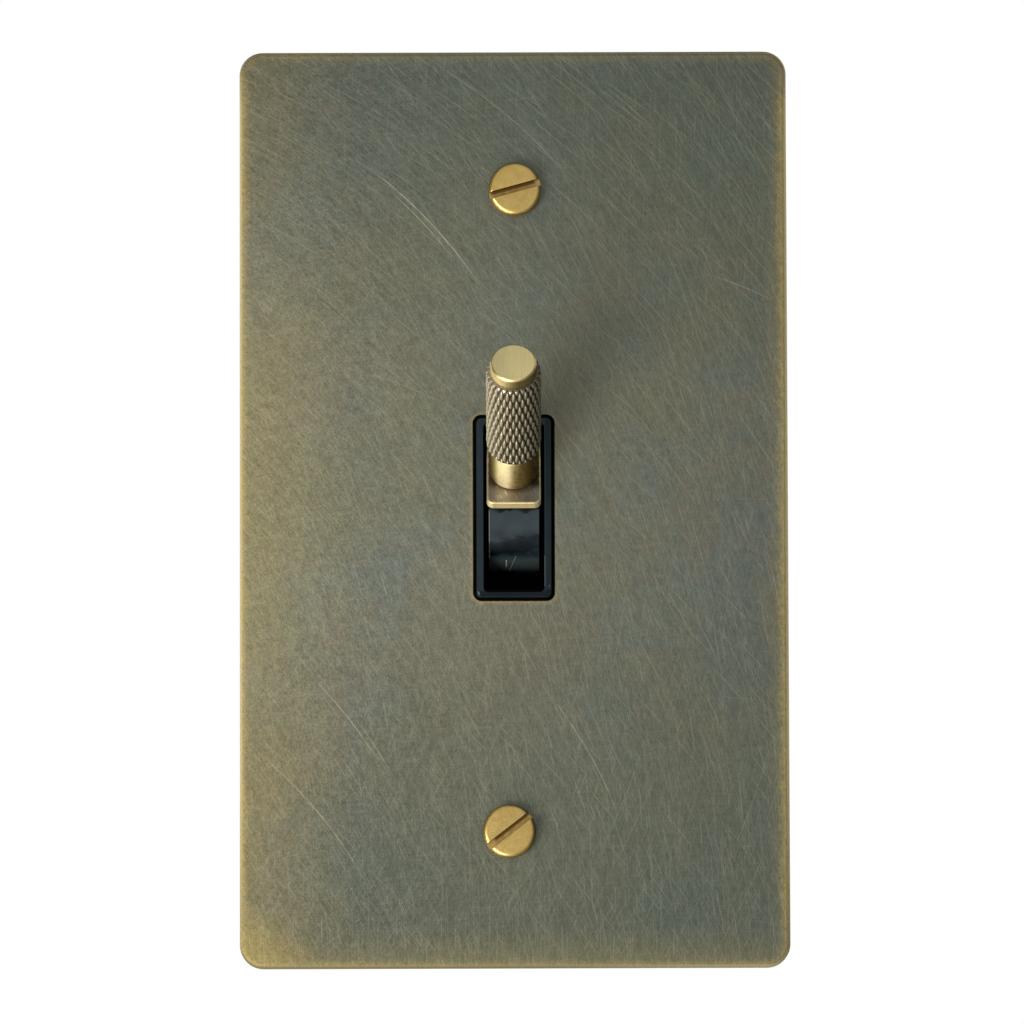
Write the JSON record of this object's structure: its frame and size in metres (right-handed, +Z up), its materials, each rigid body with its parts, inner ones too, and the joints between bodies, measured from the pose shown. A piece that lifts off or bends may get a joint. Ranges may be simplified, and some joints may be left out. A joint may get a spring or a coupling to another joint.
{
  "type": "toggle wall switch",
  "caption": "Wall-mounted toggle light switch: flat brass face plate, knurled lever in a black collar, strap, housing and terminals behind.",
  "frame": {"origin": "centre of the face plate's back face, on the surface of the wall", "axes": "+X right, +Y into the wall, +Z up along the plate's long side; the front faces -Y"},
  "size_m": [0.071, 0.0526, 0.119],
  "materials": {
    "antique_brass": "aged patina, fine scratches, worn bright edge",
    "screw_brass": "satin",
    "saddle_brass": "aged patina, bright edges",
    "turned_brass": "fine turned satin",
    "knurled_brass": "aged, dark in the grooves",
    "terminal_brass": "bright stamped",
    "black_gloss": "moulded gloss with light wear",
    "black_satin": "moulded satin",
    "red_fibre": "vulcanised fibre",
    "zinc_steel": "zinc plated",
    "spring_steel": "oiled spring steel",
    "bright_steel": "ground",
    "green_steel": "green dyed zinc",
    "contact_silver": "silver alloy"
  },
  "bodies": {
    "mounted_body": {"face_plate": "antique_brass", "plate_screw_upper": "screw_brass", "plate_screw_lower": "screw_brass", "screw_retainers": "red_fibre", "plate_studs": "zinc_steel", "stud_lock_washers": "spring_steel", "stud_nuts": "zinc_steel", "mounting_strap": "zinc_steel", "ground_screw": "green_steel", "housing_cover": "black_gloss", "housing_base": "black_satin", "housing_rivets": "zinc_steel", "pivot_pin": "bright_steel", "detent_spring": "spring_steel", "fixed_contact": "contact_silver", "contact_spring": "spring_steel", "contact_hinge_pin": "bright_steel", "terminal_line": "terminal_brass", "terminal_load": "terminal_brass", "terminal_screws": "terminal_brass"},
    "toggle": {"toggle_barrel": "black_gloss", "saddle_plate": "saddle_brass", "knob_core": "turned_brass", "knurled_grip": "knurled_brass", "knob_cap": "turned_brass", "knob_stud": "bright_steel"},
    "contact_carrier": {"contact_arm": "terminal_brass", "moving_contact": "contact_silver"}
  },
  "joints": [
    {"name": "toggle_pivot", "type": "hinge", "parent": "mounted_body", "child": "toggle", "pos_m": [0, 0.0035, 0], "axis": [1, 0, 0], "range_deg": [0, 62], "deforming": ["detent_spring"]},
    {"name": "contact_hinge", "type": "hinge", "parent": "mounted_body", "child": "contact_carrier", "pos_m": [0, 0.0118, 0.0165], "axis": [1, 0, 0], "range_deg": [0, 5.22], "deforming": ["contact_spring"]}
  ],
  "couplings": [
    {"joint": "contact_hinge", "follows": "toggle_pivot", "ratio": 0.084128}
  ]
}
